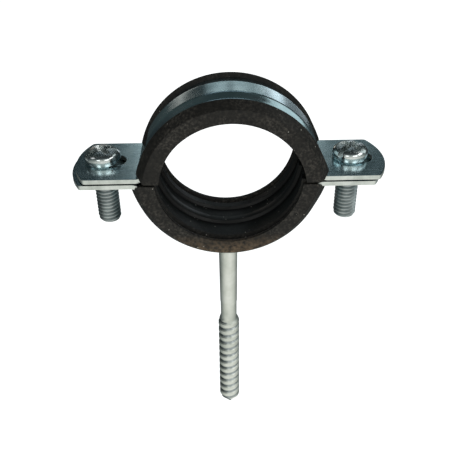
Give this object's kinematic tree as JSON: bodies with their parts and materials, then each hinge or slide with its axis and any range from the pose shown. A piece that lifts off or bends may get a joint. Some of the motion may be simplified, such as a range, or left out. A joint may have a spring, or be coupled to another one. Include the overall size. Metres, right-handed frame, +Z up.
{
  "type": "rubber lined pipe clamp",
  "caption": "Two-screw steel pipe clamp with a ribbed black rubber lining, carried by a hanger bolt with a coarse wood thread.",
  "frame": {"origin": "on the parting plane between the ears, over the hanger bolt's axis, at the middle of the strip's width", "axes": "+X along the ears, +Y along the pipe, +Z up from the bolt to the upper half"},
  "size_m": [0.0778, 0.022, 0.1061],
  "materials": {
    "zinc_strip": "blue passivated zinc, satin",
    "zinc_screw": "bright zinc",
    "zinc_bolt": "dull zinc",
    "plain_steel": "zinc plated",
    "lining_rubber": "matt"
  },
  "bodies": {
    "bolt": {"hanger_bolt": "zinc_bolt"},
    "lower_half": {"lower_band": "zinc_strip", "weld_nut": "plain_steel", "lower_liner": "lining_rubber"},
    "upper_half": {"upper_band": "zinc_strip", "upper_liner": "lining_rubber"},
    "left_screw": {"left_clamp_screw": "zinc_screw"},
    "right_screw": {"right_clamp_screw": "zinc_screw"}
  },
  "joints": [
    {"name": "clamp_swivel", "type": "hinge", "parent": "bolt", "child": "lower_half", "pos_m": [0, 0, -0.022], "axis": [0, 0, 1], "range_deg": [-180, 180]},
    {"name": "clamp_opening", "type": "slide", "parent": "lower_half", "child": "upper_half", "axis": [0, 0, 1], "range_m": [0, 0.0135]},
    {"name": "left_screw_turn", "type": "hinge", "parent": "upper_half", "child": "left_screw", "pos_m": [-0.0308, 0, 0.004], "axis": [0, 0, 1], "range_deg": [0, 4860]},
    {"name": "right_screw_turn", "type": "hinge", "parent": "upper_half", "child": "right_screw", "pos_m": [0.0308, 0, 0.004], "axis": [0, 0, 1], "range_deg": [0, 4860]}
  ],
  "couplings": [
    {"joint": "left_screw_turn", "follows": "clamp_opening", "rad_per_m": 6283.2},
    {"joint": "right_screw_turn", "follows": "clamp_opening", "rad_per_m": 6283.2}
  ]
}
